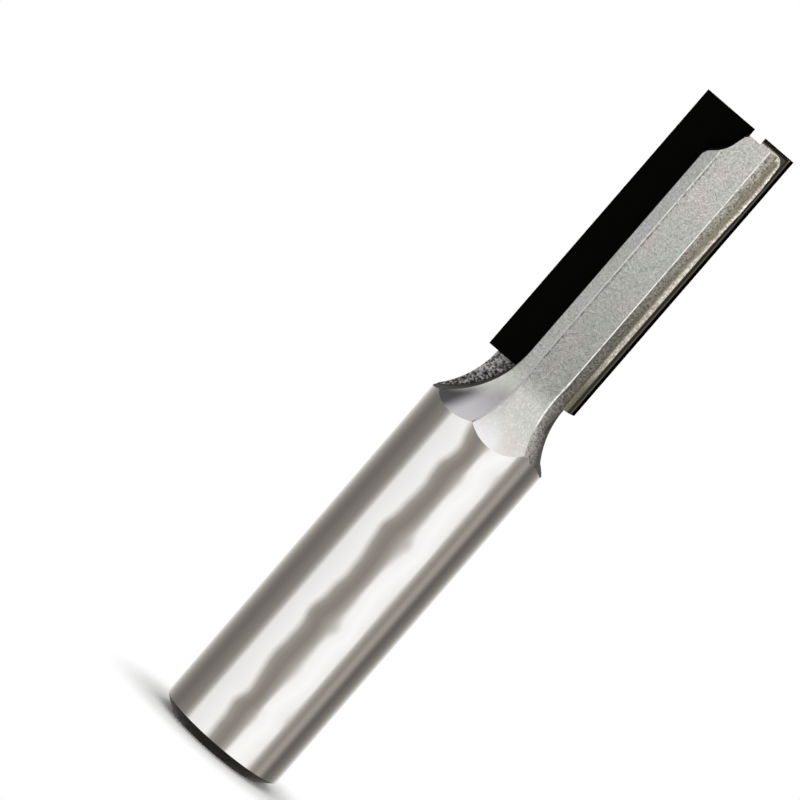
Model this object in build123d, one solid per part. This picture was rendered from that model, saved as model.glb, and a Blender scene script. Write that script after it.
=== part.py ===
from build123d import *
import os
from math import cos, radians, sin, tan

# Straight two-flute plunging router bit, right-hand cut, with brazed carbide tips.
# +Z runs along the axis from the shank end at Z = 0 to the cutting end.
# Tip 1 lies on -X with its cutting face towards -Y, tip 2 is opposite on +X.
# All sizes are in millimetres and all angles in degrees.

# ---- Driving sizes ----
shank_dia = 12.7
overall_length = 73.5
end_chamfer_width = 1.25       # radially, at the shank end
end_chamfer_height = 1.0       # along the axis

cutting_dia = 10.0
tip_length = 30.0              # cutting length, from the end down to the neck
tip_width = 3.3                # radially, from the cutting edge to the gullet wall
tip_thickness = 1.5
tip_proud = 0.35               # how far the tips stand above the end of the body

land_width = 0.95              # primary land behind each cutting edge
primary_relief = 20
secondary_relief = 30
end_relief = 8

toe_past_centre = 0.48         # tip 1 reaches past the axis, so that the bit can plunge
toe_depth = 4.1                # below the end, where the toe leaves the strip
toe_rise = 1.4                 # from there up to the toe's inner corner
toe_neck = 0.25                # the toe's inner side, right of the axis, below its flare
toe_flare_depth = 0.75         # below the end, where the toe flares to its full reach
toe_corner_radius = 3.4
toe_base_bevel = 0.3           # where the toe leaves the strip

braze_film = 0.1               # silver solder between tip and seat
braze_leg = 0.36               # fillet of solder on the back of the tip, past the steel
braze_climb = 0.5              # the same fillet, up the back flat of the body
braze_bulge = 0.1              # how far it swells past a straight slope, as a share of its throat

gullet_cutter_radius = 9.6
gullet_run_out = 2.1           # where the straight wall ends, above the tips' lower ends

side_clearance = 0.83          # each flat's clearance inside the cutting circle,
side_angle = 10                # its angle behind the cutting edge,
side_cutter_radius = 9.0       # the radius of the cutter that milled it
side_run_out = -0.05           # and where it ends, above the tips' lower ends

back_clearance = 0.86
back_angle = 34
back_cutter_radius = 11.0
back_run_out = 1.2

broad_clearance = 1.37
broad_angle = 81
broad_cutter_radius = 16.0
broad_run_out = 2.5

narrow_clearance = 1.73
narrow_angle = 130
narrow_cutter_radius = 11.0
narrow_run_out = 1.3

arris_radius = 0.25            # worn-in rounding between the narrow, broad and back flats
wall_edge_radius = 0.1         # where the narrow flat meets the gullet wall
heel_radius = 0.5              # rounded outer corner at the top of each back flat
gash_angle = 9                 # slope of the gash ground across the web at the end

# ---- Worked out from them ----
shank_radius = shank_dia / 2
cutting_radius = cutting_dia / 2
tip_bottom = overall_length - tip_length
body_top = overall_length - tip_proud
wall_x = cutting_radius - tip_width              # gullet wall, from the axis
seat_y = tip_thickness + braze_film              # seat plane, from the axis
beyond = shank_dia                               # clear of the bar on every side

flats = [
    (side_angle, side_clearance, side_cutter_radius, side_run_out),
    (back_angle, back_clearance, back_cutter_radius, back_run_out),
    (broad_angle, broad_clearance, broad_cutter_radius, broad_run_out),
    (narrow_angle, narrow_clearance, narrow_cutter_radius, narrow_run_out),
]


def flat_line(angle, clearance):
    """Normal (X, Y) and distance from the axis of a flat, seen from the cutting end."""
    direction = radians(180 - angle)
    return cos(direction), sin(direction), cutting_radius - clearance


def heel_x():
    """Outer edge of the steel where the back flat meets the seat of tip 1."""
    normal_x, normal_y, distance = flat_line(back_angle, back_clearance)
    return (distance - seat_y * normal_y) / normal_x


def arris(angle_1, clearance_1, angle_2, clearance_2):
    """Where two neighbouring flats meet, in X and Y."""
    x_1, y_1, distance_1 = flat_line(angle_1, clearance_1)
    x_2, y_2, distance_2 = flat_line(angle_2, clearance_2)
    cross = x_1 * y_2 - x_2 * y_1
    return ((distance_1 * y_2 - distance_2 * y_1) / cross,
            (distance_2 * x_1 - distance_1 * x_2) / cross)


def block(x1, x2, y1, y2, z1, z2):
    """Box between two corners."""
    size = (x2 - x1, y2 - y1, z2 - z1)
    return Pos((x1 + x2) / 2, (y1 + y2) / 2, (z1 + z2) / 2) * Box(*size)


def upright(outline, y1, y2):
    """Solid of an outline drawn in X and Z, from y1 to y2."""
    return Pos(0, y2, 0) * extrude(Plane.XZ * outline, y2 - y1)


def opposite(shape):
    """The same shape on the other flute."""
    return Rot(0, 0, 180) * shape


def disc_track(distance, radius, run_out):
    """Path of a disc cutter on the -X side, in X and Z: straight at a distance from the axis,
    from past the end down to the run-out, and the cutter's own arc below it."""
    start = tip_bottom + run_out
    height = overall_length + beyond - start
    disc = Pos(-distance - radius, start) * Circle(radius)
    return disc + Pos(-distance - radius, start + height / 2) * Rectangle(2 * radius, height)


def flat_cut(angle, clearance, cutter_radius, run_out):
    """One milled flat of the body, at its angle behind the cutting edge of tip 1."""
    track = disc_track(cutting_radius - clearance, cutter_radius, run_out)
    return Rot(0, 0, -angle) * upright(track, -beyond, beyond)


def gullet_track():
    """Path of the cutter that leaves the gullet wall of tip 1 on +X and its seat as floor."""
    return disc_track(wall_x, gullet_cutter_radius, gullet_run_out)


def toe_outline():
    """Toe of tip 1, seen on its face, from the gullet wall across the axis."""
    base_z = overall_length - toe_depth
    bevel_end = toe_base_bevel * sin(radians(45))
    base = (-wall_x, base_z - toe_base_bevel)
    bevel = (-wall_x + bevel_end, base_z + bevel_end)
    knee = (-wall_x + toe_rise, base_z + toe_rise)
    flare = (toe_neck, overall_length - toe_flare_depth)
    shoulder = (toe_past_centre, overall_length - toe_flare_depth + toe_past_centre - toe_neck)
    edge = FilletPolyline(bevel, knee, flare, radius=toe_corner_radius)
    rest = Polyline(flare, shoulder, (toe_past_centre, overall_length),
                    (-wall_x, overall_length), base, bevel)
    return make_face(edge + rest)


def heel_cut():
    """Rounds the outer corner of the back flat at the end of the body."""
    corner_x = heel_x()
    square = Pos(corner_x, body_top) * Rectangle(2 * heel_radius, 2 * heel_radius)
    round_off = Pos(corner_x + heel_radius, body_top - heel_radius) * Circle(heel_radius)
    return upright(square - round_off, seat_y, beyond)


def gash_cut():
    """Slope ground across the web between the toe and tip 2, falling towards tip 2's face."""
    front_y = -(cutting_radius - broad_clearance)
    fall = (beyond - front_y) * tan(radians(gash_angle))
    side_view = Polyline((front_y, body_top), (beyond, body_top - fall),
                         (beyond, overall_length + beyond), (front_y, overall_length + beyond),
                         close=True)
    wedge = extrude(Plane.YZ * make_face(side_view), wall_x - toe_past_centre)
    return Pos(toe_past_centre, 0, 0) * wedge


def eased(body, x, y, radius):
    """Rounds one arris of the head and the same one on the other flute, run-outs included."""
    for side in (1, -1):
        corner = Vector(side * x, side * y, 0)
        edges = [edge for edge in body.edges()
                 if edge.bounding_box().size.Z > radius
                 and any((Vector(end.X, end.Y, 0) - corner).length < radius
                         for end in (edge @ 0, edge @ 1))]
        body = fillet(edges, radius)
    return body


def make_body():
    """Steel body: one bar with a plain shank and a milled, two-fluted head."""
    body = Pos(0, 0, body_top / 2) * Cylinder(shank_radius, body_top)
    shank_edge = body.edges().filter_by(GeomType.CIRCLE).sort_by(Axis.Z)[0]
    body = chamfer(shank_edge, end_chamfer_height, end_chamfer_width,
                   reference=body.faces().filter_by(GeomType.CYLINDER)[0])
    cuts = [upright(gullet_track(), -beyond, seat_y), heel_cut()]
    cuts += [flat_cut(*flat) for flat in flats]
    for cut in cuts:
        body = body - cut - opposite(cut)
    for x, y in (arris(back_angle, back_clearance, broad_angle, broad_clearance),
                 arris(broad_angle, broad_clearance, narrow_angle, narrow_clearance)):
        body = eased(body, x, y, arris_radius)
    normal_x, normal_y, distance = flat_line(narrow_angle, narrow_clearance)
    wall_edge_y = (distance - wall_x * normal_x) / normal_y
    body = eased(body, wall_x, wall_edge_y, wall_edge_radius)
    return body - upright(toe_outline(), -beyond, seat_y) - gash_cut()


def tip_blank(outline):
    """Carbide of tip 1 with its reliefs, from its outline seen on the cutting face."""
    land_drop = land_width * tan(radians(primary_relief))
    back_drop = land_drop + (tip_thickness - land_width) * tan(radians(secondary_relief))
    section = Polyline((-cutting_radius, 0), (beyond, 0), (beyond, tip_thickness),
                       (-cutting_radius + back_drop, tip_thickness),
                       (-cutting_radius + land_drop, land_width), close=True)
    flanks = Pos(0, 0, tip_bottom) * extrude(make_face(section), tip_length)
    end_fall = tip_thickness * tan(radians(end_relief))
    end_view = Polyline((0, tip_bottom), (0, overall_length),
                        (tip_thickness, overall_length - end_fall),
                        (tip_thickness, tip_bottom), close=True)
    end = Pos(-beyond, 0, 0) * extrude(Plane.YZ * make_face(end_view), 2 * beyond)
    return upright(outline, 0, tip_thickness) & flanks & end


def strip_outline():
    """Plain carbide strip of tip 1, its lower inner corner ground to the gullet's run-out."""
    middle = Pos(-cutting_radius + tip_width / 2, tip_bottom + tip_length / 2)
    return middle * Rectangle(tip_width, tip_length) & gullet_track()


def make_braze(tip, outline, body):
    """Solder that holds tip 1: a film on its back, and a fillet along the steel's outer edge."""
    heel = Vector(heel_x(), seat_y)
    leg = Vector(heel.X - braze_leg, tip_thickness)
    climb_direction = Vector(sin(radians(back_angle)), cos(radians(back_angle)))
    climb = heel + climb_direction * braze_climb
    middle = (leg + climb) / 2
    crest = middle + (middle - heel) * braze_bulge
    slope = ThreePointArc(leg, crest, climb)
    closing = Polyline(climb, (-wall_x, climb.Y), (-wall_x, tip_thickness), leg)
    length = body_top - tip_bottom
    fillet_and_film = Pos(0, 0, tip_bottom) * extrude(make_face(slope + closing), length)
    film = upright(outline, tip_thickness, seat_y) & block(leg.X, beyond, 0, beyond, 0, body_top)
    reach = heel_radius + braze_leg
    corner = Pos(leg.X, body_top) * Rectangle(2 * reach, 2 * reach)
    corner -= Pos(leg.X + reach, body_top - reach) * Circle(reach)
    return fillet_and_film + film - upright(corner, 0, beyond) - body - tip


# ---- The pieces ----
strip = strip_outline()
strip_and_toe = strip + toe_outline()

body = make_body()
tip_1 = tip_blank(strip_and_toe)
tip_2 = opposite(tip_blank(strip))
braze_1 = make_braze(tip_1, strip_and_toe, body)
braze_2 = opposite(make_braze(opposite(tip_2), strip, opposite(body)))

pieces = {
    "body": body,
    "tip_1": tip_1,
    "tip_2": tip_2,
    "braze_1": braze_1,
    "braze_2": braze_2,
}

os.makedirs("parts", exist_ok=True)
for name, shape in pieces.items():
    export_step(shape, f"parts/{name}.step")
    print(name, len(shape.solids()), "solid,", round(shape.volume, 2), "mm3")
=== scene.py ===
import math

import bmesh
import bpy
from mathutils import Matrix, Vector


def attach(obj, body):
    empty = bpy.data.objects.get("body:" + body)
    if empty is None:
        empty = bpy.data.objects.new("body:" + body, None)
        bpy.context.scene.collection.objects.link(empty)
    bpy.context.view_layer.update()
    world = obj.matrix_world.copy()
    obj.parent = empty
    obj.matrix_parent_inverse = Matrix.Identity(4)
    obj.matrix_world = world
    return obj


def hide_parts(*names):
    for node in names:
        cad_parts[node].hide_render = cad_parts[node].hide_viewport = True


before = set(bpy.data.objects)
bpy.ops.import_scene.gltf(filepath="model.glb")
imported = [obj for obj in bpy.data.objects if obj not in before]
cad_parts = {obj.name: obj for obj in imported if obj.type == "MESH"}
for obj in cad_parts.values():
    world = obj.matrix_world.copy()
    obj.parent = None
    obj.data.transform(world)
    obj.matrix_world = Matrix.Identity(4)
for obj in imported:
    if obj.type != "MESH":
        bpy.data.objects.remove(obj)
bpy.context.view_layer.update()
print("stage: frame loaded")


def mm(value):                     # one length in mm, or several, in Blender's metres
    if isinstance(value, (tuple, list)):
        return tuple(mm(one) for one in value)
    return value / 1000


def linearColour(hexColour):
    channels = [int(hexColour[i:i + 2], 16) / 255.0 for i in (1, 3, 5)]
    linear = [c / 12.92 if c <= 0.04045 else ((c + 0.055) / 1.055) ** 2.4 for c in channels]
    return (*linear, 1.0)


# A node is given settings, values for its inputs and links to them. A link is a socket, or
# another node, which stands for its first output in use. Colours are given in hex.
def addNode(tree, kind, given=None):
    node = tree.nodes.new(kind)
    for name, value in (given or {}).items():
        if isinstance(value, bpy.types.Node):
            value = next(socket for socket in value.outputs if socket.enabled)
        elif isinstance(value, str) and value.startswith("#"):
            value = linearColour(value)
        if isinstance(value, bpy.types.NodeSocket):
            tree.links.new(value, node.inputs[name])
        elif name == "stops":      # a colour ramp's positions and linear colours
            elements = node.color_ramp.elements
            while len(elements) < len(value):
                elements.new(1.0)
            for element, (position, colour) in zip(elements, value):
                element.position, element.color = position, colour
        elif isinstance(name, str) and hasattr(node, name):
            setattr(node, name, value)
        else:
            node.inputs[name].default_value = value
    return node


# The settings of a Map Range node that goes from one end to the other.
def between(ends, levels=(0.0, 1.0), eased=False):
    return {"From Min": ends[0], "From Max": ends[1], "To Min": levels[0], "To Max": levels[1],
            "interpolation_type": "SMOOTHSTEP" if eased else "LINEAR"}


def newObject(name, data):
    thing = bpy.data.objects.new(name, data)
    bpy.context.scene.collection.objects.link(thing)
    return thing


# The camera looks along +Y with the whole bit leaning to the right in the picture.
cameraView = {
    "elevation": 7.0,              # degrees above the horizontal
    "lean": 40.84,                 # degrees that the bit leans to the right
    "scale": 11.22,                # picture pixels per millimetre at the bit
    "picture": 800,                # pixels across
    "distance": 1600.0,            # mm from the bit's axis
    "anchorHeight": 38.5,          # mm up the axis, the point that lies at anchorPixel
    "anchorPixel": (495.2, 421.5),
    "sensor": 36.0,
}


def makeCamera(view):
    elevation, lean = math.radians(view["elevation"]), math.radians(view["lean"])
    forward = Vector((0, math.cos(elevation), -math.sin(elevation)))
    level = Vector((1, 0, 0))
    up = math.cos(lean) * level.cross(forward) - math.sin(lean) * level
    right = forward.cross(up)
    half = view["picture"] / 2
    across = (half - view["anchorPixel"][0]) / view["scale"]
    upward = (view["anchorPixel"][1] - half) / view["scale"]
    target = Vector((0, 0, view["anchorHeight"])) + across * right + upward * up
    data = bpy.data.cameras.new("camera")
    data.sensor_width = view["sensor"]
    data.lens = view["distance"] * view["sensor"] * view["scale"] / view["picture"]
    camera = newObject("camera", data)
    turn = Matrix((right, up, -forward)).transposed().to_4x4()
    camera.matrix_world = Matrix.Translation((target - view["distance"] * forward) / 1000) @ turn
    bpy.context.scene.camera = camera


makeCamera(cameraView)
print("stage: camera")

# A white backdrop, a plain soft level for everything matt, and for the polished steel the
# room itself: two white panels, dim warm walls between them, light above and dark below.
studio = {
    "softLevel": 0.72,
    "room": [                      # degrees from the camera towards the right, brightness
        (-180, 1.05), (-160, 0.72), (-142, 0.40), (-130, 0.27), (-116, 0.18), (-104, 0.17),
        (-90, 0.21), (-78, 0.26), (-70, 0.45), (-63, 0.96), (-31, 1.06), (-24, 0.70),
        (-19, 0.38), (-9, 0.28), (0, 0.255), (9, 0.35), (16, 0.50), (20, 0.80), (25, 1.08),
        (44, 1.15), (65, 1.04), (71, 0.50), (78, 0.31), (84, 0.29), (90, 0.37), (97, 0.35),
        (104, 0.19), (112, 0.13), (128, 0.20), (142, 0.34), (160, 0.74), (180, 1.05)],
    "wallTint": (1.08, 1.0, 0.91),     # of the dim walls; the panels are neutral
    "tintFades": (0.35, 0.95),     # brightness over which it goes
    "ceiling": 1.10,
    "ceilingFrom": (18.0, 48.0),   # degrees of elevation where it begins and is full
    "below": 0.16,
    "belowFrom": (-22.0, -50.0),
    "lampDistance": 500.0,         # mm from the bit
    "lampBrightness": 1.05,        # 1 is white
    "lampHeight": (-260.0, 420.0),
    "lamps": {"left": (-63.0, -25.0), "right": (20.0, 66.0)},   # degrees, as above
}


def makeWorld(light):
    world = bpy.data.worlds.new("studio")
    bpy.context.scene.world = world
    world.use_nodes = True
    tree = world.node_tree
    tree.nodes.clear()
    direction = addNode(tree, "ShaderNodeTexCoord").outputs["Generated"]
    x, y, z = addNode(tree, "ShaderNodeSeparateXYZ", {0: direction}).outputs
    toCamera = addNode(tree, "ShaderNodeMath", {"operation": "MULTIPLY", 0: y, 1: -1.0})
    around = addNode(tree, "ShaderNodeMath", {"operation": "ARCTAN2", 0: x, 1: toCamera})
    turned = addNode(tree, "ShaderNodeMapRange",
                     {"Value": around, **between((-math.pi, math.pi))})
    brightest = max(level for _, level in light["room"]) * max(light["wallTint"])
    tinted, neutral = light["tintFades"]
    stops = []
    for angle, level in light["room"]:
        share = min(max((neutral - level) / (neutral - tinted), 0), 1)
        colour = [level * (1 + share * (tint - 1)) / brightest for tint in light["wallTint"]]
        stops.append(((angle + 180) / 360, (*colour, 1)))
    room = addNode(tree, "ShaderNodeValToRGB", {0: turned, "stops": stops})
    seenColour = addNode(tree, "ShaderNodeVectorMath",
                         {"operation": "SCALE", 0: room, "Scale": brightest})
    rise = addNode(tree, "ShaderNodeMath", {"operation": "ARCSINE", 0: z})
    for name in ("ceiling", "below"):
        ends = [math.radians(angle) for angle in light[name + "From"]]
        share = addNode(tree, "ShaderNodeMapRange", {"Value": rise, **between(ends, eased=True)})
        seenColour = addNode(tree, "ShaderNodeMix",
                             {"data_type": "RGBA", 0: share, 6: seenColour,
                              7: (light[name], light[name], light[name], 1)})
    rays = addNode(tree, "ShaderNodeLightPath").outputs
    white = (1, 1, 1, 1)
    plain = addNode(tree, "ShaderNodeBackground", {"Color": white, "Strength": light["softLevel"]})
    mirrored = addNode(tree, "ShaderNodeBackground", {"Color": seenColour})
    backdrop = addNode(tree, "ShaderNodeBackground", {"Color": white, "Strength": 1.0})
    lighting = addNode(tree, "ShaderNodeMixShader",
                       {0: rays["Is Glossy Ray"], 1: plain, 2: mirrored})
    seen = addNode(tree, "ShaderNodeMath", {"operation": "MAXIMUM", 0: rays["Is Camera Ray"],
                                            1: rays["Is Transmission Ray"]})
    final = addNode(tree, "ShaderNodeMixShader", {0: seen, 1: lighting, 2: backdrop})
    addNode(tree, "ShaderNodeOutputWorld", {"Surface": final})


def makeLamps(light):
    low, high = mm(light["lampHeight"])
    distance = mm(light["lampDistance"])
    for side, (start, end) in light["lamps"].items():
        middle, half = math.radians((start + end) / 2), math.radians((end - start) / 2)
        data = bpy.data.lights.new(f"lamp_{side}", "AREA")
        data.shape = "RECTANGLE"
        data.size = 2 * distance * math.tan(half)
        data.size_y = high - low
        data.energy = light["lampBrightness"] * math.pi * data.size * data.size_y
        lamp = newObject(f"lamp_{side}", data)
        place = Vector((distance * math.sin(middle), -distance * math.cos(middle), 0))
        lamp.rotation_euler = place.to_track_quat("Z", "Y").to_euler()
        lamp.location = place + Vector((0, 0, (low + high) / 2))
        lamp.visible_camera = False
        lamp.visible_glossy = False    # the metal sees it as one of the room's white panels


makeWorld(studio)
makeLamps(studio)
bpy.context.scene.view_settings.view_transform = "Standard"
print("stage: studio")


def newMaterial(name):             # with its tree, and the place on the piece
    material = bpy.data.materials.new(name)
    material.use_nodes = True
    tree = material.node_tree
    tree.nodes.clear()
    return material, tree, addNode(tree, "ShaderNodeTexCoord").outputs["Object"]


# Pale sheet of matt paper. It fades into the backdrop away from the bit, and the bit's
# shadow stays on it.
paper = {
    "colour": "#fbfbfa",
    "halfWidth": 4000.0,
    "whiteFrom": (6.5, 13.0),      # mm from the bit where it starts to fade and is white
}


def makeFloor(sheet):
    material, tree, place = newMaterial("mattPaper")
    away = addNode(tree, "ShaderNodeVectorMath", {"operation": "LENGTH", 0: place})
    fade = addNode(tree, "ShaderNodeMapRange",
                   {"Value": away, **between(mm(sheet["whiteFrom"]), eased=True)})
    rays = addNode(tree, "ShaderNodeLightPath").outputs
    seen = rays["Is Camera Ray"]
    for ray in ("Is Transmission Ray", "Is Glossy Ray"):
        seen = addNode(tree, "ShaderNodeMath", {"operation": "MAXIMUM", 0: seen, 1: rays[ray]})
    share = addNode(tree, "ShaderNodeMath", {"operation": "MULTIPLY", 0: seen, 1: fade})
    matt = addNode(tree, "ShaderNodeBsdfDiffuse", {"Color": sheet["colour"]})
    white = addNode(tree, "ShaderNodeEmission", {"Color": (1, 1, 1, 1), "Strength": 1.0})
    mix = addNode(tree, "ShaderNodeMixShader", {0: share, 1: matt, 2: white})
    addNode(tree, "ShaderNodeOutputMaterial", {"Surface": mix})
    half = mm(sheet["halfWidth"])
    mesh = bpy.data.meshes.new("floor")
    mesh.from_pydata([(-half, -half, 0), (half, -half, 0), (half, half, 0), (-half, half, 0)],
                     [], [(0, 1, 2, 3)])
    mesh.materials.append(material)
    floor = newObject("floor", mesh)
    floor.visible_glossy = False   # the polished steel shows the room, not the paper


makeFloor(paper)
print("stage: floor")

# Levels of a noise over which it shades a grain, changes the gloss, and picks one of two
# patterns of strokes. Nearly all of a noise lies between the first two.
noiseLevels = {"shade": (0.34, 0.66), "gloss": (0.35, 0.65), "pick": (0.44, 0.56)}


def aroundOne(contrast):           # as much darker as brighter
    return 1 - contrast, 1 + contrast


def coat(material, given):         # the surface that all the patterns lead to
    tree = material.node_tree
    surface = addNode(tree, "ShaderNodeBsdfPrincipled", given)
    addNode(tree, "ShaderNodeOutputMaterial", {"Surface": surface})
    return material


# Noise with marks of a real size in mm, as wide each way or drawn out in X, Y and Z, and
# tilted by some degrees down to the right as seen from the front.
def sizedNoise(tree, place, size, detail=2.0, roughness=0.5, tilt=0.0):
    scale = mm(size if isinstance(size, tuple) else (size, size, size))
    spread = addNode(tree, "ShaderNodeMapping",
                     {"vector_type": "TEXTURE", "Vector": place, "Scale": scale,
                      "Rotation": (0, math.radians(tilt), 0)})
    return addNode(tree, "ShaderNodeTexNoise", {"Vector": spread, "Scale": 1.0,
                                                "Detail": detail, "Roughness": roughness})


# Short strokes in patches that run one way or the other.
def crossingStrokes(tree, place, finish):
    strokes = [sizedNoise(tree, place, size, roughness=0.55, tilt=tilt)
               for size, tilt in zip(finish["strokes"], finish["strokeAngles"])]
    patches = sizedNoise(tree, place, finish["patch"], detail=1.0)
    pick = addNode(tree, "ShaderNodeMapRange",
                   {"Value": patches, **between(noiseLevels["pick"])})
    return addNode(tree, "ShaderNodeMix",
                   {"data_type": "FLOAT", 0: pick, 2: strokes[0], 3: strokes[1]})


# Soft clouds of three shades, with the noise that they follow.
def cloudedTint(tree, place, finish):
    clouds = sizedNoise(tree, place, finish["cloud"])
    reach = finish["cloudReach"]
    stops = [(level, linearColour(shade))
             for level, shade in zip((0.5 - reach, 0.5, 0.5 + reach), finish["clouds"])]
    return clouds, addNode(tree, "ShaderNodeValToRGB", {0: clouds, "stops": stops})


# Hardened tool steel, centreless ground and polished: a bright mirror drawn out round
# the shank, with slow swells down one side that make the reflections wander.
groundShank = {
    "steel": "#ebeae8",
    "roughness": (0.07, 0.11),
    "streak": (7.0, 7.0, 0.30),    # mm, length round the shank and spacing up it
    "streakDepth": 0.00015,        # mm
    "swellSpacing": 4.6,
    "swellDepth": 0.80,
    "swellAcross": (-3.4, 0.9, 3.6),   # mm in X where a swell starts, is highest and ends
    "swellBehind": (0.0, -3.0),    # mm in Y where it starts and is full
}


def makeGroundShank(finish):
    material, tree, place = newMaterial("centrelessGroundToolSteel")
    x, y, z = addNode(tree, "ShaderNodeSeparateXYZ", {0: place}).outputs
    up = addNode(tree, "ShaderNodeMath",
                 {"operation": "DIVIDE", 0: z, 1: mm(finish["swellSpacing"])})
    swells = addNode(tree, "ShaderNodeTexNoise", {"noise_dimensions": "1D", "W": up,
                                                  "Scale": 1.0, "Detail": 1.0, "Roughness": 0.35})
    height = addNode(tree, "ShaderNodeMath", {"operation": "SUBTRACT", 0: swells, 1: 0.5})
    start, top, end = mm(finish["swellAcross"])
    for way, ends in ((x, (start, top)), (x, (end, top)), (y, mm(finish["swellBehind"]))):
        share = addNode(tree, "ShaderNodeMapRange", {"Value": way, **between(ends, eased=True)})
        height = addNode(tree, "ShaderNodeMath", {"operation": "MULTIPLY", 0: height, 1: share})
    streaks = sizedNoise(tree, place, finish["streak"], detail=3.0, roughness=0.6)
    gloss = addNode(tree, "ShaderNodeMapRange",
                    {"Value": streaks, **between(noiseLevels["gloss"], finish["roughness"])})
    swollen = addNode(tree, "ShaderNodeBump",
                      {"Height": height, "Distance": mm(finish["swellDepth"])})
    streaked = addNode(tree, "ShaderNodeBump", {"Height": streaks, "Normal": swollen,
                                                "Distance": mm(finish["streakDepth"])})
    return coat(material, {"Base Color": finish["steel"], "Metallic": 1.0,
                           "Roughness": gloss, "Normal": streaked})


# The same steel turned on the lathe at the shank's end: a dull ring, dark partly from painted
# shade.
turnedEnd = {"steel": "#57514c", "roughness": 0.55, "groove": (12.0, 12.0, 0.16),
             "grooveDepth": 0.002}


def makeTurnedEnd(finish):
    material, tree, place = newMaterial("turnedToolSteel")
    bump = addNode(tree, "ShaderNodeBump",
                   {"Height": sizedNoise(tree, place, finish["groove"]),
                    "Distance": mm(finish["grooveDepth"])})
    return coat(material, {"Base Color": finish["steel"], "Metallic": 1.0,
                           "Roughness": finish["roughness"], "Normal": bump})


# Milled flats of the head after a fine blast and a hand-held wheel: an even satin grey
# with a fine grain of short crossing strokes and faint green and rose clouds. Below the
# grain the cutter's run-outs stay smooth, and on the narrow flat they carry painted
# shade, darker towards the gullet.
broadFlat = {
    "name": "blastedToolSteelBroad",
    "facing": (0.1564, -0.9877),   # X and Y
    "clouds": ("#b1b4ac", "#b4b4b0", "#b9b4b1"),
    "cloud": (2.0, 2.0, 3.4),      # mm
    "cloudReach": 0.14,            # of the noise, between one shade and the next
    "contrast": 0.42,              # of the grain, either way
    "speckle": 0.17,               # mm; finer on the real part, as the strokes are
    "strokes": ((0.36, 0.36, 0.09), (0.32, 0.32, 0.10)),
    "strokeAngles": (34.0, -42.0),     # degrees down to the right, seen from the front
    "strokeShare": 0.62,           # of the strokes in the grain
    "patch": 1.1,                  # mm, how far one direction of stroke holds
    "paintedShadeUp": (0.80, 1.22),        # share of the brightness at the two heights below: painted shade, lighter up the flat
    "paintedShadeUpFrom": (46.0, 68.0),    # mm up the bit
    "paintedLightLow": 1.68,                 # times the brightness low down: painted light, over the heights below
    "palerFrom": (44.2, 42.3),
    "softer": 0.35,                # share of the grain's contrast left there
    "edgeShade": 0.90,             # of the brightness, in the painted shade beside the inner arris
    "edgeShadeAcross": (-1.06, -0.72),     # mm along the flat from its middle
    "pits": 0.52,                  # of the brightness, in the dark pits in that painted shade
    "pit": (0.2, 0.2, 0.36),       # mm
    "pitLevels": (0.53, 0.44),     # of the noise, at a pit's edge and where it is full
    "pitsAcross": -0.92,           # mm along the flat from its middle, where they end
    "grainFrom": (36.6, 41.0),     # mm up the bit where the grain begins and is full
    "grainSlope": -0.15,           # mm higher for each mm along the flat
    "ragged": 3.4,                 # mm that the grain's lower edge wanders
    "scratch": (0.15, 0.15, 2.6),
    "scratchLevels": (0.54, 0.68),
    "scratchShine": 0.20,          # of the brightness, in a scratch
    "scratchFrom": (46.5, 43.0),   # mm up the bit where the scratches begin and are full
    "metal": (0.5, 0.35),          # share of bare metal below the grain and in it
    "roughness": (0.30, 0.52),
    "runOut": ("#ecebeb", "#e0deda"),
    "paintedShadingAcross": (0.0, 1.0),         # mm along the flat, over which one turns to the other: painted shading of the run-out
}
narrowFlat = dict(
    broadFlat, name="blastedToolSteelNarrow", facing=(-0.6428, -0.7660),
    clouds=("#b9bcb4", "#bcbdb8", "#b9b9bc"), contrast=0.37, paintedShadeUp=(1.0, 1.0), paintedLightLow=1.42,
    edgeShade=1.0, pits=1.0, grainFrom=(39.2, 41.8), grainSlope=0.75, ragged=2.0,
    scratchFrom=(36.0, 35.0), roughness=(0.27, 0.52), runOut=("#403d3e", "#c3c1c4"),
    paintedShadingAcross=(-1.1, 0.9))


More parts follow.
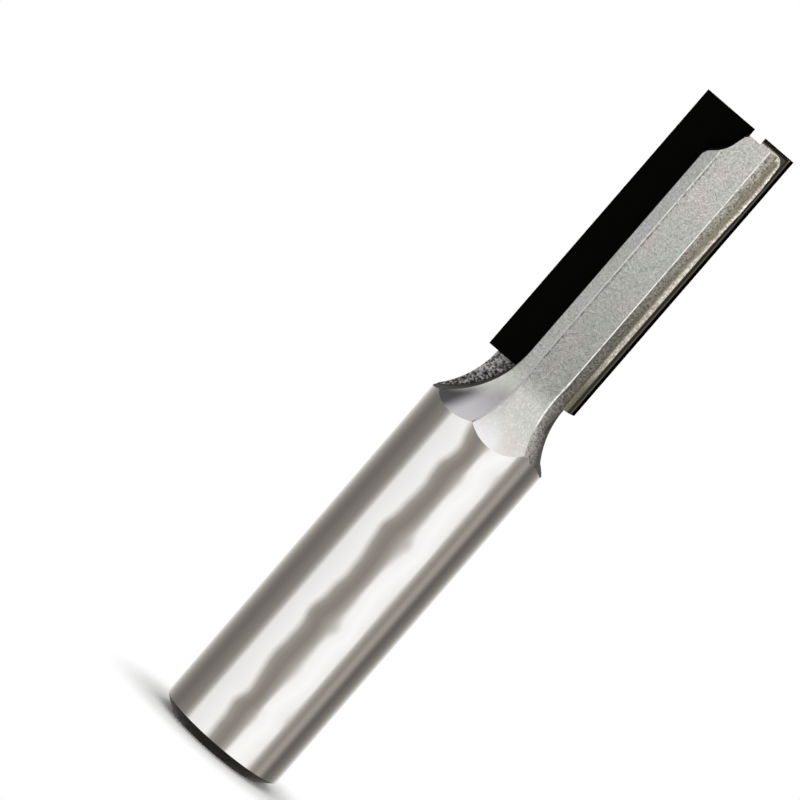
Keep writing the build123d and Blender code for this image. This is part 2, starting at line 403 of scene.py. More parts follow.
def makeSatinFlat(finish):
    material, tree, place = newMaterial(finish["name"])
    up = addNode(tree, "ShaderNodeSeparateXYZ", {0: place}).outputs["Z"]
    facingX, facingY = finish["facing"]
    along = addNode(tree, "ShaderNodeVectorMath",
                    {"operation": "DOT_PRODUCT", 0: place, 1: (-facingY, facingX, 0)})
    out = addNode(tree, "ShaderNodeVectorMath",
                  {"operation": "DOT_PRODUCT", 0: place, 1: (facingX, facingY, 0)})
    side = addNode(tree, "ShaderNodeMath", {"operation": "SIGN", 0: out})
    across = addNode(tree, "ShaderNodeMath", {"operation": "MULTIPLY", 0: along, 1: side})

    # Grain of speckles and strokes, softer low down, with scratches over it.
    mixed = addNode(tree, "ShaderNodeMix",
                    {"data_type": "FLOAT", 0: finish["strokeShare"],
                     2: sizedNoise(tree, place, finish["speckle"], roughness=0.6),
                     3: crossingStrokes(tree, place, finish)})
    grain = addNode(tree, "ShaderNodeMapRange",
                    {"Value": mixed, **between(noiseLevels["shade"],
                                               aroundOne(finish["contrast"]))})
    low = addNode(tree, "ShaderNodeMapRange", {"Value": up, **between(mm(finish["palerFrom"]))})
    left = addNode(tree, "ShaderNodeMapRange",
                   {"Value": low, "To Min": 1.0, "To Max": finish["softer"]})
    soft = addNode(tree, "ShaderNodeMix", {"data_type": "FLOAT", 0: left, 2: 1.0, 3: grain})
    scratched = addNode(tree, "ShaderNodeMapRange",
                        {"Value": up, **between(mm(finish["scratchFrom"]))})
    shine = addNode(tree, "ShaderNodeMapRange",
                    {"Value": sizedNoise(tree, place, finish["scratch"], detail=1.0),
                     **between(finish["scratchLevels"], (0.0, finish["scratchShine"]))})
    level = addNode(tree, "ShaderNodeMath",
                    {"operation": "MULTIPLY_ADD", 0: scratched, 1: shine, 2: soft})

    # Painted shade and its pits by the inner arris, painted shade up the flat, painted light low
    # down.
    paintedEdgeShade = addNode(tree, "ShaderNodeMapRange",
                    {"Value": across, **between(mm(finish["edgeShadeAcross"]),
                                                (finish["edgeShade"], 1.0), eased=True)})
    pit = addNode(tree, "ShaderNodeMapRange",
                  {"Value": sizedNoise(tree, place, finish["pit"], detail=1.0),
                   **between(finish["pitLevels"], (1.0, finish["pits"]))})
    nearArris = addNode(tree, "ShaderNodeMath",
                        {"operation": "LESS_THAN", 0: across, 1: mm(finish["pitsAcross"])})
    above = addNode(tree, "ShaderNodeMath", {"operation": "SUBTRACT", 0: nearArris, 1: low})
    pitted = addNode(tree, "ShaderNodeMix", {"data_type": "FLOAT", 0: above, 2: 1.0, 3: pit})
    paintedShadeUp = addNode(tree, "ShaderNodeMapRange",
                     {"Value": up, **between(mm(finish["paintedShadeUpFrom"]), finish["paintedShadeUp"])})
    paintedLightLow = addNode(tree, "ShaderNodeMapRange",
                    {"Value": low, "To Min": 1.0, "To Max": finish["paintedLightLow"]})
    for shade in (paintedEdgeShade, pitted, paintedShadeUp, paintedLightLow):
        level = addNode(tree, "ShaderNodeMath", {"operation": "MULTIPLY", 0: level, 1: shade})

    # Clouds under the grain, whose lower edge follows them raggedly, and below it the run-out.
    clouds, tint = cloudedTint(tree, place, finish)
    grained = addNode(tree, "ShaderNodeVectorMath",
                      {"operation": "SCALE", 0: tint, "Scale": level})
    # Painted shading across the run-out, dark towards the gullet on the narrow flat.
    paintedShadingAcross = addNode(tree, "ShaderNodeMapRange",
                      {"Value": across, **between(mm(finish["paintedShadingAcross"]), eased=True)})
    runOutShadedEnd, bare = finish["runOut"]
    smooth = addNode(tree, "ShaderNodeMix",
                     {"data_type": "RGBA", 0: paintedShadingAcross, 6: runOutShadedEnd, 7: bare})
    ragged = mm(finish["ragged"])
    wander = addNode(tree, "ShaderNodeMath",
                     {"operation": "MULTIPLY_ADD", 0: clouds, 1: ragged, 2: -ragged / 2})
    raggedUp = addNode(tree, "ShaderNodeMath", {"operation": "ADD", 0: up, 1: wander})
    slanted = addNode(tree, "ShaderNodeMath", {"operation": "MULTIPLY_ADD", 0: across,
                                               1: -finish["grainSlope"], 2: raggedUp})
    share = addNode(tree, "ShaderNodeMapRange",
                    {"Value": slanted, **between(mm(finish["grainFrom"]), eased=True)})
    colour = addNode(tree, "ShaderNodeMix", {"data_type": "RGBA", 0: share, 6: smooth, 7: grained})
    metal, gloss = (addNode(tree, "ShaderNodeMapRange",
                            {"Value": share, **between((0.0, 1.0), finish[name])})
                    for name in ("metal", "roughness"))
    return coat(material, {"Base Color": colour, "Metallic": metal, "Roughness": gloss})


# The flats behind each tip, and the solder's fillet there, where torch and flux left the
# steel grey, olive and brown under coarse filing strokes, with a painted sheen by the arris.
# Below the tip they are burnt dark, with painted shade deepening towards the bit's outer edge.
stainedFlat = {
    "name": "heatStainedToolSteel",
    "clouds": ("#7e7872", "#8f8d88", "#8a887d"),
    "cloud": (0.7, 0.7, 1.6),      # mm
    "cloudReach": 0.12,
    "olive": "#888475",
    "oliveFrom": (3.1, 3.8),       # mm from the axis
    "paintedShadeUp": (0.70, 0.76),        # share of the brightness at the two heights below: painted shade
    "paintedShadeUpFrom": (46.0, 70.0),    # mm up the bit
    "sheen": 1.45,                 # painted sheen, brighter beside the outer arris, at the upper height
    "sheenAcross": (3.95, 3.15),   # mm from the axis
    "sheenFrom": (53.0, 67.0),     # mm up the bit
    "burntAndShaded": ("#efebe3", "#46413d"),
    "burntAndShadedAcross": (2.4, 4.0),     # mm from the axis, darkening outwards with painted shade; more low down, as the two rows say
    "burntShift": (-1.76, 0.05),
    "burntShiftFrom": (37.2, 41.6),    # mm up the bit
    "burntFrom": (44.2, 42.2),     # mm up the bit
    "strokes": ((0.40, 0.40, 0.12), (0.34, 0.34, 0.14)),
    "strokeAngles": (-24.0, 40.0),
    "patch": 0.9,
    "contrast": 0.62,
    "strokeDepth": 0.01,
    "metal": 0.25,
    "roughness": 0.5,
}
sideFlat = dict(stainedFlat, name="scorchedToolSteel", burntAndShaded=("#5d5752", "#3a3532"))


def makeStainedFlat(finish):
    material, tree, place = newMaterial(finish["name"])
    x, _, up = addNode(tree, "ShaderNodeSeparateXYZ", {0: place}).outputs
    out = addNode(tree, "ShaderNodeMath", {"operation": "ABSOLUTE", 0: x})

    # Stains above, and burnt steel below the tip, darkened outwards with painted shade.
    _, tint = cloudedTint(tree, place, finish)
    olive = addNode(tree, "ShaderNodeMapRange", {"Value": out, **between(mm(finish["oliveFrom"]))})
    flat = addNode(tree, "ShaderNodeMix",
                   {"data_type": "RGBA", 0: olive, 6: tint, 7: finish["olive"]})
    shift = addNode(tree, "ShaderNodeMapRange",
                    {"Value": up, **between(mm(finish["burntShiftFrom"]),
                                            mm(finish["burntShift"]))})
    slanted = addNode(tree, "ShaderNodeMath", {"operation": "ADD", 0: out, 1: shift})
    charAndShade = addNode(tree, "ShaderNodeMapRange",
                   {"Value": slanted, **between(mm(finish["burntAndShadedAcross"]))})
    clear, charredAndShaded = finish["burntAndShaded"]
    burntAndShaded = addNode(tree, "ShaderNodeMix",
                    {"data_type": "RGBA", 0: charAndShade, 6: clear, 7: charredAndShaded})
    below = addNode(tree, "ShaderNodeMapRange", {"Value": up, **between(mm(finish["burntFrom"]))})
    plain = addNode(tree, "ShaderNodeMix", {"data_type": "RGBA", 0: below, 6: flat, 7: burntAndShaded})

    # Strokes, painted shade up the flat, and a painted sheen beside its outer arris.
    stroke = crossingStrokes(tree, place, finish)
    level = addNode(tree, "ShaderNodeMapRange",
                    {"Value": stroke, **between(noiseLevels["shade"],
                                                aroundOne(finish["contrast"]))})
    paintedShadeUp = addNode(tree, "ShaderNodeMapRange",
                     {"Value": up, **between(mm(finish["paintedShadeUpFrom"]), finish["paintedShadeUp"])})
    besideArris = addNode(tree, "ShaderNodeMapRange",
                          {"Value": out, **between(mm(finish["sheenAcross"]), eased=True)})
    rising = addNode(tree, "ShaderNodeMapRange",
                     {"Value": up, **between(mm(finish["sheenFrom"]), (0.0, finish["sheen"]))})
    sheen = addNode(tree, "ShaderNodeMath",
                    {"operation": "MULTIPLY_ADD", 0: besideArris, 1: rising, 2: 1.0})
    for shade in (paintedShadeUp, sheen):
        level = addNode(tree, "ShaderNodeMath", {"operation": "MULTIPLY", 0: level, 1: shade})
    colour = addNode(tree, "ShaderNodeVectorMath",
                     {"operation": "SCALE", 0: plain, "Scale": level})
    bump = addNode(tree, "ShaderNodeBump",
                   {"Height": stroke, "Distance": mm(finish["strokeDepth"])})
    return coat(material, {"Base Color": colour, "Metallic": finish["metal"],
                           "Roughness": finish["roughness"], "Normal": bump})


# Seat below each tip: the milled floor under burnt flux and splashes of solder, a
# sparkling crust of white and black grains, with painted shade beside the gullet's run-out.
crustedSeat = {
    "grains": ((0.34, "#2b2927"), (0.46, "#7f7c7a"), (0.60, "#f4f3f3")),   # level of the noise
    "grain": 0.21,                 # mm between grains
    "cutter": (11.3, 45.6, 9.6),   # mm, the gullet cutter's X and Z when it stopped; radius
    "paintedShadeNearWall": (0.10, 1.0),          # mm from the cutter's edge
    "shift": (-0.05, 0.03),        # of the mix of grains, in the painted shade and clear of it
    "roughness": 0.42,
    "grainDepth": 0.03,
    "metal": 0.45,
}


def makeCrustedSeat(finish):
    material, tree, place = newMaterial("fluxCrustedToolSteel")
    grains = sizedNoise(tree, place, finish["grain"], detail=3.0, roughness=0.62)
    x, _, up = addNode(tree, "ShaderNodeSeparateXYZ", {0: place}).outputs
    out = addNode(tree, "ShaderNodeMath", {"operation": "ABSOLUTE", 0: x})
    inPlane = addNode(tree, "ShaderNodeCombineXYZ", {"X": out, "Z": up})
    cutterX, cutterZ, radius = mm(finish["cutter"])
    fromCutter = addNode(tree, "ShaderNodeVectorMath",
                         {"operation": "DISTANCE", 0: inPlane, 1: (cutterX, 0, cutterZ)})
    edge = addNode(tree, "ShaderNodeMath", {"operation": "SUBTRACT", 0: radius, 1: fromCutter})
    shift = addNode(tree, "ShaderNodeMapRange",
                    {"Value": edge, **between(mm(finish["paintedShadeNearWall"]), finish["shift"])})
    level = addNode(tree, "ShaderNodeMath", {"operation": "ADD", 0: grains, 1: shift})
    stops = [(position, linearColour(shade)) for position, shade in finish["grains"]]
    colour = addNode(tree, "ShaderNodeValToRGB", {0: level, "stops": stops})
    bump = addNode(tree, "ShaderNodeBump",
                   {"Height": grains, "Distance": mm(finish["grainDepth"])})
    return coat(material, {"Base Color": colour, "Metallic": finish["metal"],
                           "Roughness": finish["roughness"], "Normal": bump})


# Milled wall of the gullet: pale beside the tip, and darkened with painted shade where it
# runs out below. The pocket for the toe is the same steel, darkened all over as painted shade.
milledWall = {"name": "milledToolSteel", "steel": "#a5a2a0", "paintedShadeBelow": "#3a3634",
              "paintedShadeBelowFrom": (44.4, 43.0), "metal": 0.35, "roughness": 0.5, "sheen": 0.1,
              "edgeTint": (0.3, 0.3, 0.3, 1), "line": (8.0, 0.12, 8.0), "lineDepth": 0.0008}
# The pocket's near-black colour is painted shade.
toePocket = dict(milledWall, name="shadedPocketToolSteel", steel="#161413")


def makeMilledWall(finish):
    material, tree, place = newMaterial(finish["name"])
    up = addNode(tree, "ShaderNodeSeparateXYZ", {0: place}).outputs["Z"]
    shadeBelowShare = addNode(tree, "ShaderNodeMapRange", {"Value": up, **between(mm(finish["paintedShadeBelowFrom"]))})
    colour = addNode(tree, "ShaderNodeMix",
                     {"data_type": "RGBA", 0: shadeBelowShare, 6: finish["steel"], 7: finish["paintedShadeBelow"]})
    bump = addNode(tree, "ShaderNodeBump",
                   {"Height": sizedNoise(tree, place, finish["line"]),
                    "Distance": mm(finish["lineDepth"])})
    return coat(material, {"Base Color": colour, "Metallic": finish["metal"],
                           "Roughness": finish["roughness"], "Normal": bump,
                           "Specular IOR Level": finish["sheen"],
                           "Specular Tint": finish["edgeTint"]})


# Arrises with a painted highlight: a bright line beside each back flat, and a duller one
# with dark nicks beside each narrow flat. Both highlights fade out at the neck.
outerArris = {"name": "highlightedArrisSteel", "steel": "#fdfdf6", "dull": "#cfcdc4",
              "nick": 0.34, "nicks": (0.32, 0.46), "metal": 0.35, "roughness": 0.36,
              "worn": "#b5b3af", "wornFrom": (40.3, 41.6)}
innerArris = dict(outerArris, name="nickedHighlightedArrisSteel", steel="#ecece4", dull="#c0c0b9",
                  nicks=(0.36, 0.52), metal=0.4, worn="#b6b4b3", wornFrom=(44.0, 66.0))


def makeHighlightedArris(finish):
    material, tree, place = newMaterial(finish["name"])
    up = addNode(tree, "ShaderNodeSeparateXYZ", {0: place}).outputs["Z"]
    share = addNode(tree, "ShaderNodeMapRange",
                    {"Value": sizedNoise(tree, place, finish["nick"]), **between(finish["nicks"])})
    line = addNode(tree, "ShaderNodeMix",
                   {"data_type": "RGBA", 0: share, 6: finish["dull"], 7: finish["steel"]})
    kept = addNode(tree, "ShaderNodeMapRange", {"Value": up, **between(mm(finish["wornFrom"]))})
    colour = addNode(tree, "ShaderNodeMix",
                     {"data_type": "RGBA", 0: kept, 6: finish["worn"], 7: line})
    return coat(material, {"Base Color": colour, "Metallic": finish["metal"],
                           "Roughness": finish["roughness"]})


# Cemented carbide, diamond ground: black, with a dull olive second relief and a thin
# paler line, a painted highlight, where the two reliefs behind the cutting edge meet.
groundCarbide = {
    "carbide": "#121211",
    "relief": "#7d7a6d",
    "line": "#bab7ab",
    "land": "#3b3935",
    "end": "#5d574f",
    "endHeight": 73.3,             # mm up the bit
    "edgeTint": (0.2, 0.2, 0.2, 1),
    "roughness": (0.20, 0.30),
    "grind": (0.05, 0.05, 6.0),    # mm, grinding lines run along the edge
    "lineDistance": 4.62,          # mm from the axis
    "lineHalfWidth": 0.07,
    "lineBehind": 0.5,             # mm, only behind this depth from the cutting face
}


def makeGroundCarbide(finish):
    material, tree, place = newMaterial("groundCementedCarbide")
    x, y, up = addNode(tree, "ShaderNodeSeparateXYZ", {0: place}).outputs
    out, behind = (addNode(tree, "ShaderNodeMath", {"operation": "ABSOLUTE", 0: way})
                   for way in (x, y))
    distance = mm(finish["lineDistance"])
    flank = addNode(tree, "ShaderNodeMath",
                    {"operation": "GREATER_THAN", 0: behind, 1: mm(finish["lineBehind"])})
    # The pale line is a painted highlight of the edge between the two reliefs.
    band = addNode(tree, "ShaderNodeMath", {"operation": "COMPARE", 0: out, 1: distance,
                                            2: mm(finish["lineHalfWidth"])})
    second = addNode(tree, "ShaderNodeMath", {"operation": "LESS_THAN", 0: out, 1: distance})
    line, relief = (addNode(tree, "ShaderNodeMath", {"operation": "MULTIPLY", 0: flank, 1: zone})
                    for zone in (band, second))
    over = addNode(tree, "ShaderNodeMath",
                   {"operation": "GREATER_THAN", 0: up, 1: mm(finish["endHeight"])})
    ground = addNode(tree, "ShaderNodeMix",
                     {"data_type": "RGBA", 0: flank, 6: finish["carbide"], 7: finish["land"]})
    behindEdge = addNode(tree, "ShaderNodeMix",
                         {"data_type": "RGBA", 0: over, 6: finish["relief"], 7: finish["end"]})
    dark = addNode(tree, "ShaderNodeMix",
                   {"data_type": "RGBA", 0: relief, 6: ground, 7: behindEdge})
    colour = addNode(tree, "ShaderNodeMix",
                     {"data_type": "RGBA", 0: line, 6: dark, 7: finish["line"]})
    gloss = addNode(tree, "ShaderNodeMapRange",
                    {"Value": sizedNoise(tree, place, finish["grind"]),
                     **between(noiseLevels["gloss"], finish["roughness"])})
    return coat(material, {"Base Color": colour, "Metallic": 1.0, "Roughness": gloss,
                           "Specular Tint": finish["edgeTint"]})


# Silver solder as it froze: a pale cream bead, rosy in patches, with dark pinholes. Low
# down the bit it is thin and scorched olive.
silverSolder = {
    "solder": "#f8f3e5",
    "rosy": "#f0e4da",
    "rosyLevels": (0.45, 0.62),    # of the noise, at a patch's edge and where it is full
    "patch": (1.2, 1.2, 3.0),      # mm
    "pinhole": "#a39d88",
    "pinholeLevels": (0.42, 0.30),
    "scorched": "#8d8773",
    "scorchedFrom": (49.5, 46.0),  # mm up the bit where it begins and is full
    "paintedShadeUp": (0.58, 0.96),        # share of the brightness at the two heights below: painted shade, darker low down
    "paintedShadeUpFrom": (48.0, 67.0),
    "stained": "#868270",
    "stainedAcross": (4.0, 3.74),  # mm from the axis where the stain begins and is full
    "stainedShift": 0.24,          # mm further out at the upper height
    "stainedShiftFrom": (57.0, 67.0),
    "stainedUpTo": (72.9, 72.5),   # mm up the bit, where the stain begins and is full
    "mottle": 0.45,                # of the brightness, either way
    "lump": 0.20,                  # mm
    "lumpDepth": 0.02,
    "metal": 0.12,
    "roughness": 0.42,
}


def makeSilverSolder(finish):
    material, tree, place = newMaterial("frozenSilverSolder")
    x, _, up = addNode(tree, "ShaderNodeSeparateXYZ", {0: place}).outputs
    out = addNode(tree, "ShaderNodeMath", {"operation": "ABSOLUTE", 0: x})
    lumps = sizedNoise(tree, place, finish["lump"], detail=3.0, roughness=0.6)
    rosy = addNode(tree, "ShaderNodeMapRange",
                   {"Value": sizedNoise(tree, place, finish["patch"]),
                    **between(finish["rosyLevels"])})
    scorch = addNode(tree, "ShaderNodeMapRange",
                     {"Value": up, **between(mm(finish["scorchedFrom"]))})
    shift = addNode(tree, "ShaderNodeMapRange",
                    {"Value": up, **between(mm(finish["stainedShiftFrom"]),
                                            (0.0, -mm(finish["stainedShift"])))})
    shifted = addNode(tree, "ShaderNodeMath", {"operation": "ADD", 0: out, 1: shift})
    inside = addNode(tree, "ShaderNodeMapRange",
                     {"Value": shifted, **between(mm(finish["stainedAcross"]))})
    under = addNode(tree, "ShaderNodeMapRange",
                    {"Value": up, **between(mm(finish["stainedUpTo"]))})
    stain = addNode(tree, "ShaderNodeMath", {"operation": "MULTIPLY", 0: inside, 1: under})
    # Painted shade, darker low down the bit.
    paintedShadeUp = addNode(tree, "ShaderNodeMapRange",
                     {"Value": up, **between(mm(finish["paintedShadeUpFrom"]), finish["paintedShadeUp"])})
    mottle = addNode(tree, "ShaderNodeMapRange",
                     {"Value": lumps, **between(noiseLevels["shade"], aroundOne(finish["mottle"]))})
    pinhole = addNode(tree, "ShaderNodeMapRange",
                      {"Value": lumps, **between(finish["pinholeLevels"])})

    # A named colour covers its share of what is before it, and None is a brightness.
    colour = finish["solder"]
    for name, share in (("rosy", rosy), ("scorched", scorch), (None, paintedShadeUp),
                        ("stained", stain), (None, mottle), ("pinhole", pinhole)):
        if name:
            colour = addNode(tree, "ShaderNodeMix",
                             {"data_type": "RGBA", 0: share, 6: colour, 7: finish[name]})
        else:
            colour = addNode(tree, "ShaderNodeVectorMath",
                             {"operation": "SCALE", 0: colour, "Scale": share})
    bump = addNode(tree, "ShaderNodeBump", {"Height": lumps, "Distance": mm(finish["lumpDepth"])})
    return coat(material, {"Base Color": colour, "Metallic": finish["metal"],
                           "Roughness": finish["roughness"], "Normal": bump})


zoneMaterials = {
    "shank": makeGroundShank(groundShank),
    "end": makeTurnedEnd(turnedEnd),
    "broad": makeSatinFlat(broadFlat),
    "narrow": makeSatinFlat(narrowFlat),
    "stained": makeStainedFlat(stainedFlat),
    "side": makeStainedFlat(sideFlat),
    "seat": makeCrustedSeat(crustedSeat),
    "wall": makeMilledWall(milledWall),
    "pocket": makeMilledWall(toePocket),
    "outer": makeHighlightedArris(outerArris),
    "inner": makeHighlightedArris(innerArris),
}
carbideMaterial = makeGroundCarbide(groundCarbide)
solderMaterial = makeSilverSolder(silverSolder)
print("stage: materials")

# Steel body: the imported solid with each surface's true normals, so that its tangent
# joins stay invisible, and a finish for each surface.
steelBody = {
    "shankRadius": 6.35,
    "chamferTop": 1.0,
    "seatPlane": 1.6,
    "gulletWall": {"angle": 0.0, "distance": 1.7, "radius": 9.6, "runOut": 45.6},
    "flats": [                     # degrees behind the cutting edge; mm
        {"angle": 10.0, "distance": 4.17, "radius": 9.0, "runOut": 43.45, "zone": "side"},
        {"angle": 34.0, "distance": 4.14, "radius": 11.0, "runOut": 44.7, "zone": "stained"},
        {"angle": 81.0, "distance": 3.63, "radius": 16.0, "runOut": 46.0, "zone": "broad"},
        {"angle": 130.0, "distance": 3.27, "radius": 11.0, "runOut": 44.8, "zone": "narrow"}],
    "onSurface": 0.003,            # mm that a corner may be off the surface it lies on
    "sameWay": 12.0,               # degrees between a face and the surface it lies on
    "joins": 40.0,                 # degrees that a rounding takes up from its neighbour
    "arrisHeight": 37.0,
    "arrisRise": 0.8,              # most that an arris faces up or down, 1 being straight
    "outerArrisFrom": 1.5,         # mm from the axis in X
    "pocketHeight": 68.0,
    "pocketHalfWidth": 2.0,
    "pocketTurn": 0.1,             # most that its wall faces to the front or back
}
mergeDistance = 0.0005             # mm between the corners of two triangles that meet


def milledTrack(direction, track):
    distance, radius, runOut = (mm(track[key]) for key in ("distance", "radius", "runOut"))

    def measure(point):
        out = point.x * direction.x + point.y * direction.y
        if point.z >= runOut:
            return abs(out - distance), direction.copy()
        toCutter = direction * (distance + radius - out) + Vector((0, 0, runOut - point.z))
        return abs(toCutter.length - radius), toCutter.normalized()
    return measure


def shankSurface(radius):
    def measure(point):
        flat = Vector((point.x, point.y, 0))
        return abs(flat.length - radius), flat.normalized() if flat.length > 0 else flat
    return measure


def bodySurfaces(shape):
    surfaces = [("shank", shankSurface(mm(shape["shankRadius"])))]
    seatPlane = mm(shape["seatPlane"])
    for side in (1, -1):
        for track in shape["flats"]:
            angle = math.radians(180 - track["angle"])
            direction = Vector((side * math.cos(angle), side * math.sin(angle), 0))
            surfaces.append((track["zone"], milledTrack(direction, track)))
        surfaces.append(("wall", milledTrack(Vector((-side, 0, 0)), shape["gulletWall"])))
        surfaces.append(("seat", lambda point, side=side:
                         (abs(point.y - side * seatPlane), Vector((0, -side, 0)))))
    return surfaces


def mergedCopy(node, name):
    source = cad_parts[node]
    mesh = source.data.copy()
    mesh.name = name
    shape = bmesh.new()
    shape.from_mesh(mesh)
    bmesh.ops.transform(shape, matrix=source.matrix_world, verts=shape.verts)
    bmesh.ops.remove_doubles(shape, verts=shape.verts, dist=mm(mergeDistance))
    bmesh.ops.dissolve_degenerate(shape, edges=shape.edges, dist=mm(mergeDistance))
    shape.to_mesh(mesh)
    shape.free()
    mesh.materials.clear()
    return mesh


# The finish of a face on none of the known surfaces: a chamfer, a rounding or the pocket.
def zoneBetween(face, lowest, shape):
    middle, normal = face.center, face.normal
    if middle.z < mm(shape["chamferTop"]):
        return "end"
    if (lowest > mm(shape["pocketHeight"]) and abs(normal.y) < shape["pocketTurn"]
            and abs(middle.x) < mm(shape["pocketHalfWidth"])):
        return "pocket"
    if lowest > mm(shape["arrisHeight"]) and abs(normal.z) < shape["arrisRise"]:
        if abs(middle.x) <= mm(shape["outerArrisFrom"]):
            return "inner"
        behindTip = middle.x * middle.y < 0
        return "outer" if behindTip else "wall"
    return "broad"


def makeBody(shape):
    mesh = mergedCopy("body", "steelBody")
    zones = list(zoneMaterials)
    for material in zoneMaterials.values():
        mesh.materials.append(material)
    surfaces = bodySurfaces(shape)
    sameWay, joins = (math.cos(math.radians(shape[key])) for key in ("sameWay", "joins"))
    corners = [vertex.co for vertex in mesh.vertices]
    found = {}                     # face to the normals of its corners
    atCorner = [[] for _ in corners]
    for face in mesh.polygons:
        face.use_smooth = True
        lowest = min(corners[index].z for index in face.vertices)
        zone = zoneBetween(face, lowest, shape)
        for name, measure in surfaces:
            measured = [measure(corners[index]) for index in face.vertices]
            if (max(off for off, _ in measured) < mm(shape["onSurface"])
                    and measure(face.center)[1].dot(face.normal) > sameWay):
                zone = name
                found[face.index] = [normal for _, normal in measured]
                for index, (_, normal) in zip(face.vertices, measured):
                    atCorner[index].append(normal)
                break
        face.material_index = zones.index(zone)
    loose = [Vector() for _ in corners]    # the mean normal of the other faces
    for face in mesh.polygons:
        if face.index not in found:
            for index in face.vertices:
                loose[index] += face.normal * face.area
    normals = []
    for face in mesh.polygons:
        for order, index in enumerate(face.vertices):
            if face.index in found:
                normals.append(found[face.index][order])
                continue
            near = max(atCorner[index], key=face.normal.dot, default=Vector())
            shared = loose[index].normalized()
            if near.dot(face.normal) > joins:
                normals.append(near)
            elif shared.dot(face.normal) > joins:
                normals.append(shared)
            else:
                normals.append(face.normal.copy())
    mesh.normals_split_custom_set(normals)
    body = newObject("steelBody", mesh)
    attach(body, "root")
    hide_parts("body")
    print("body faces", len(mesh.polygons), "on known surfaces", len(found))


makeBody(steelBody)
print("stage: body")

for name in ("tip_1", "tip_2"):
    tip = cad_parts[name]
    tip.data.materials.clear()
    tip.data.materials.append(carbideMaterial)
print("stage: tips")

# Solder along each joint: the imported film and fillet, and along their outer edge the
# bead that stood up when it froze.
solderBead = {
    "path": [        # across from the axis, behind the face, up the bit, radius; mm
        (3.96, 1.60, 43.55, 0.12), (3.96, 1.60, 46.6, 0.13), (4.12, 1.57, 48.2, 0.15),
        (4.13, 1.57, 51.5, 0.15), (3.99, 1.60, 53.3, 0.15), (4.05, 1.58, 55.5, 0.16),
        (4.07, 1.58, 60.0, 0.16), (4.10, 1.58, 63.0, 0.16), (4.16, 1.56, 65.2, 0.16),
        (4.23, 1.54, 67.2, 0.17), (4.26, 1.53, 69.5, 0.17), (4.22, 1.54, 71.0, 0.16),
        (4.15, 1.56, 72.0, 0.15), (4.02, 1.60, 72.75, 0.14), (3.72, 1.61, 73.06, 0.12),
        (3.30, 1.60, 73.10, 0.10), (2.60, 1.58, 73.10, 0.08), (1.85, 1.58, 73.08, 0.08)],
    "radiusWobble": 0.9,           # of the radius
    "wobbleLength": 0.5,
    "surfaceWobble": 0.07,
    "step": 0.07,                  # mm between cross-sections
}


def groupTree(name, sockets):
    tree = bpy.data.node_groups.new(name, "GeometryNodeTree")
    identifiers = {}
    for label, kind in sockets.items():
        item = tree.interface.new_socket(label, in_out="INPUT", socket_type=kind)
        identifiers[label] = item.identifier
    tree.interface.new_socket("Geometry", in_out="OUTPUT", socket_type="NodeSocketGeometry")
    return tree, identifiers


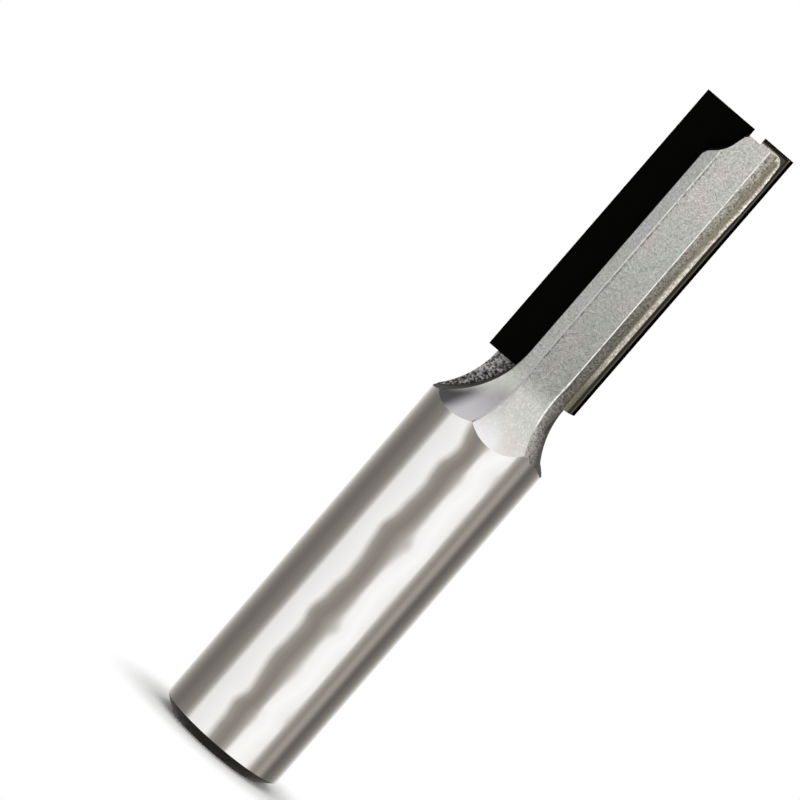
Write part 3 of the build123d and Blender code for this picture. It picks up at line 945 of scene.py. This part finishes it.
def beadTree():
    tree, identifiers = groupTree("solderBead", {
        "Path": "NodeSocketGeometry", "Radius Wobble": "NodeSocketFloat",
        "Wobble Length": "NodeSocketFloat", "Surface Wobble": "NodeSocketFloat",
        "Step": "NodeSocketFloat", "Seed": "NodeSocketInt", "Material": "NodeSocketMaterial"})
    given = addNode(tree, "NodeGroupInput").outputs
    even = addNode(tree, "GeometryNodeResampleCurve",
                   {"mode": "LENGTH", "Curve": given["Path"], "Length": given["Step"]})
    place = addNode(tree, "GeometryNodeInputPosition")
    frequency = addNode(tree, "ShaderNodeMath",
                        {"operation": "DIVIDE", 0: 1.0, 1: given["Wobble Length"]})
    scaled = addNode(tree, "ShaderNodeVectorMath",
                     {"operation": "SCALE", 0: place, "Scale": frequency})

    # A tube along the path, whose radius swings by a slow noise.
    wave = addNode(tree, "ShaderNodeTexNoise", {"noise_dimensions": "4D", "Vector": scaled,
                                                "W": given["Seed"], "Scale": 1.0, "Detail": 3.0})
    swing = addNode(tree, "ShaderNodeMath", {"operation": "SUBTRACT", 0: wave, 1: 0.5})
    share = addNode(tree, "ShaderNodeMath",
                    {"operation": "MULTIPLY_ADD", 0: swing, 1: given["Radius Wobble"], 2: 1.0})
    radius = addNode(tree, "GeometryNodeInputRadius")
    thickness = addNode(tree, "ShaderNodeMath", {"operation": "MULTIPLY", 0: share, 1: radius})
    profile = addNode(tree, "GeometryNodeCurvePrimitiveCircle", {"Resolution": 10, "Radius": 1.0})
    tube = addNode(tree, "GeometryNodeCurveToMesh", {"Curve": even, "Profile Curve": profile,
                                                     "Scale": thickness, "Fill Caps": True})

    # Its surface is pushed about by a noise three times as fine.
    fine = addNode(tree, "ShaderNodeTexNoise", {"noise_dimensions": "4D", "Vector": scaled,
                                                "W": given["Seed"], "Scale": 3.0, "Detail": 2.0})
    centred = addNode(tree, "ShaderNodeVectorMath",
                      {"operation": "SUBTRACT", 0: fine.outputs["Color"], 1: (0.5, 0.5, 0.5)})
    push = addNode(tree, "ShaderNodeVectorMath",
                   {"operation": "SCALE", 0: centred, "Scale": given["Surface Wobble"]})
    bead = addNode(tree, "GeometryNodeSetPosition", {"Geometry": tube, "Offset": push})
    real = addNode(tree, "GeometryNodeRealizeInstances", {0: bead})
    smooth = addNode(tree, "GeometryNodeSetShadeSmooth", {"Geometry": real})
    painted = addNode(tree, "GeometryNodeSetMaterial",
                      {"Geometry": smooth, "Material": given["Material"]})
    addNode(tree, "NodeGroupOutput", {0: painted})
    return tree, identifiers


def throughTree(source, tree, identifiers, values):
    modifier = source.modifiers.new("nodes", "NODES")
    modifier.node_group = tree
    for label, value in values.items():
        modifier[identifiers[label]] = value
    evaluated = source.evaluated_get(bpy.context.evaluated_depsgraph_get())
    mesh = bpy.data.meshes.new_from_object(evaluated)
    source.modifiers.remove(modifier)
    bpy.data.objects.remove(source)
    return mesh


def makeSolder(number, side, tree, identifiers, shape):
    curve = bpy.data.curves.new("path", "CURVE")
    curve.dimensions = "3D"
    spline = curve.splines.new("NURBS")
    spline.points.add(len(shape["path"]) - 1)
    for point, (across, behind, up, radius) in zip(spline.points, shape["path"]):
        point.co = (*mm((-side * across, side * behind, up)), 1)
        point.radius = mm(radius)
    spline.order_u = 3
    spline.use_endpoint_u = True
    bead = throughTree(newObject("path", curve), tree, identifiers, {
        "Radius Wobble": shape["radiusWobble"], "Wobble Length": mm(shape["wobbleLength"]),
        "Surface Wobble": mm(shape["surfaceWobble"]), "Step": mm(shape["step"]),
        "Seed": number, "Material": solderMaterial})
    joined = bmesh.new()
    joined.from_mesh(mergedCopy(f"braze_{number}", "film"))
    joined.from_mesh(bead)
    mesh = bpy.data.meshes.new(f"solder_{number}")
    joined.to_mesh(mesh)
    joined.free()
    mesh.materials.append(solderMaterial)
    piece = newObject(f"solder_{number}", mesh)
    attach(piece, "root")
    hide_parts(f"braze_{number}")
    print(piece.name, len(mesh.polygons), "faces")


beadNodes, beadSockets = beadTree()
for number, side in ((1, 1), (2, -1)):
    makeSolder(number, side, beadNodes, beadSockets, solderBead)
print("stage: solder")
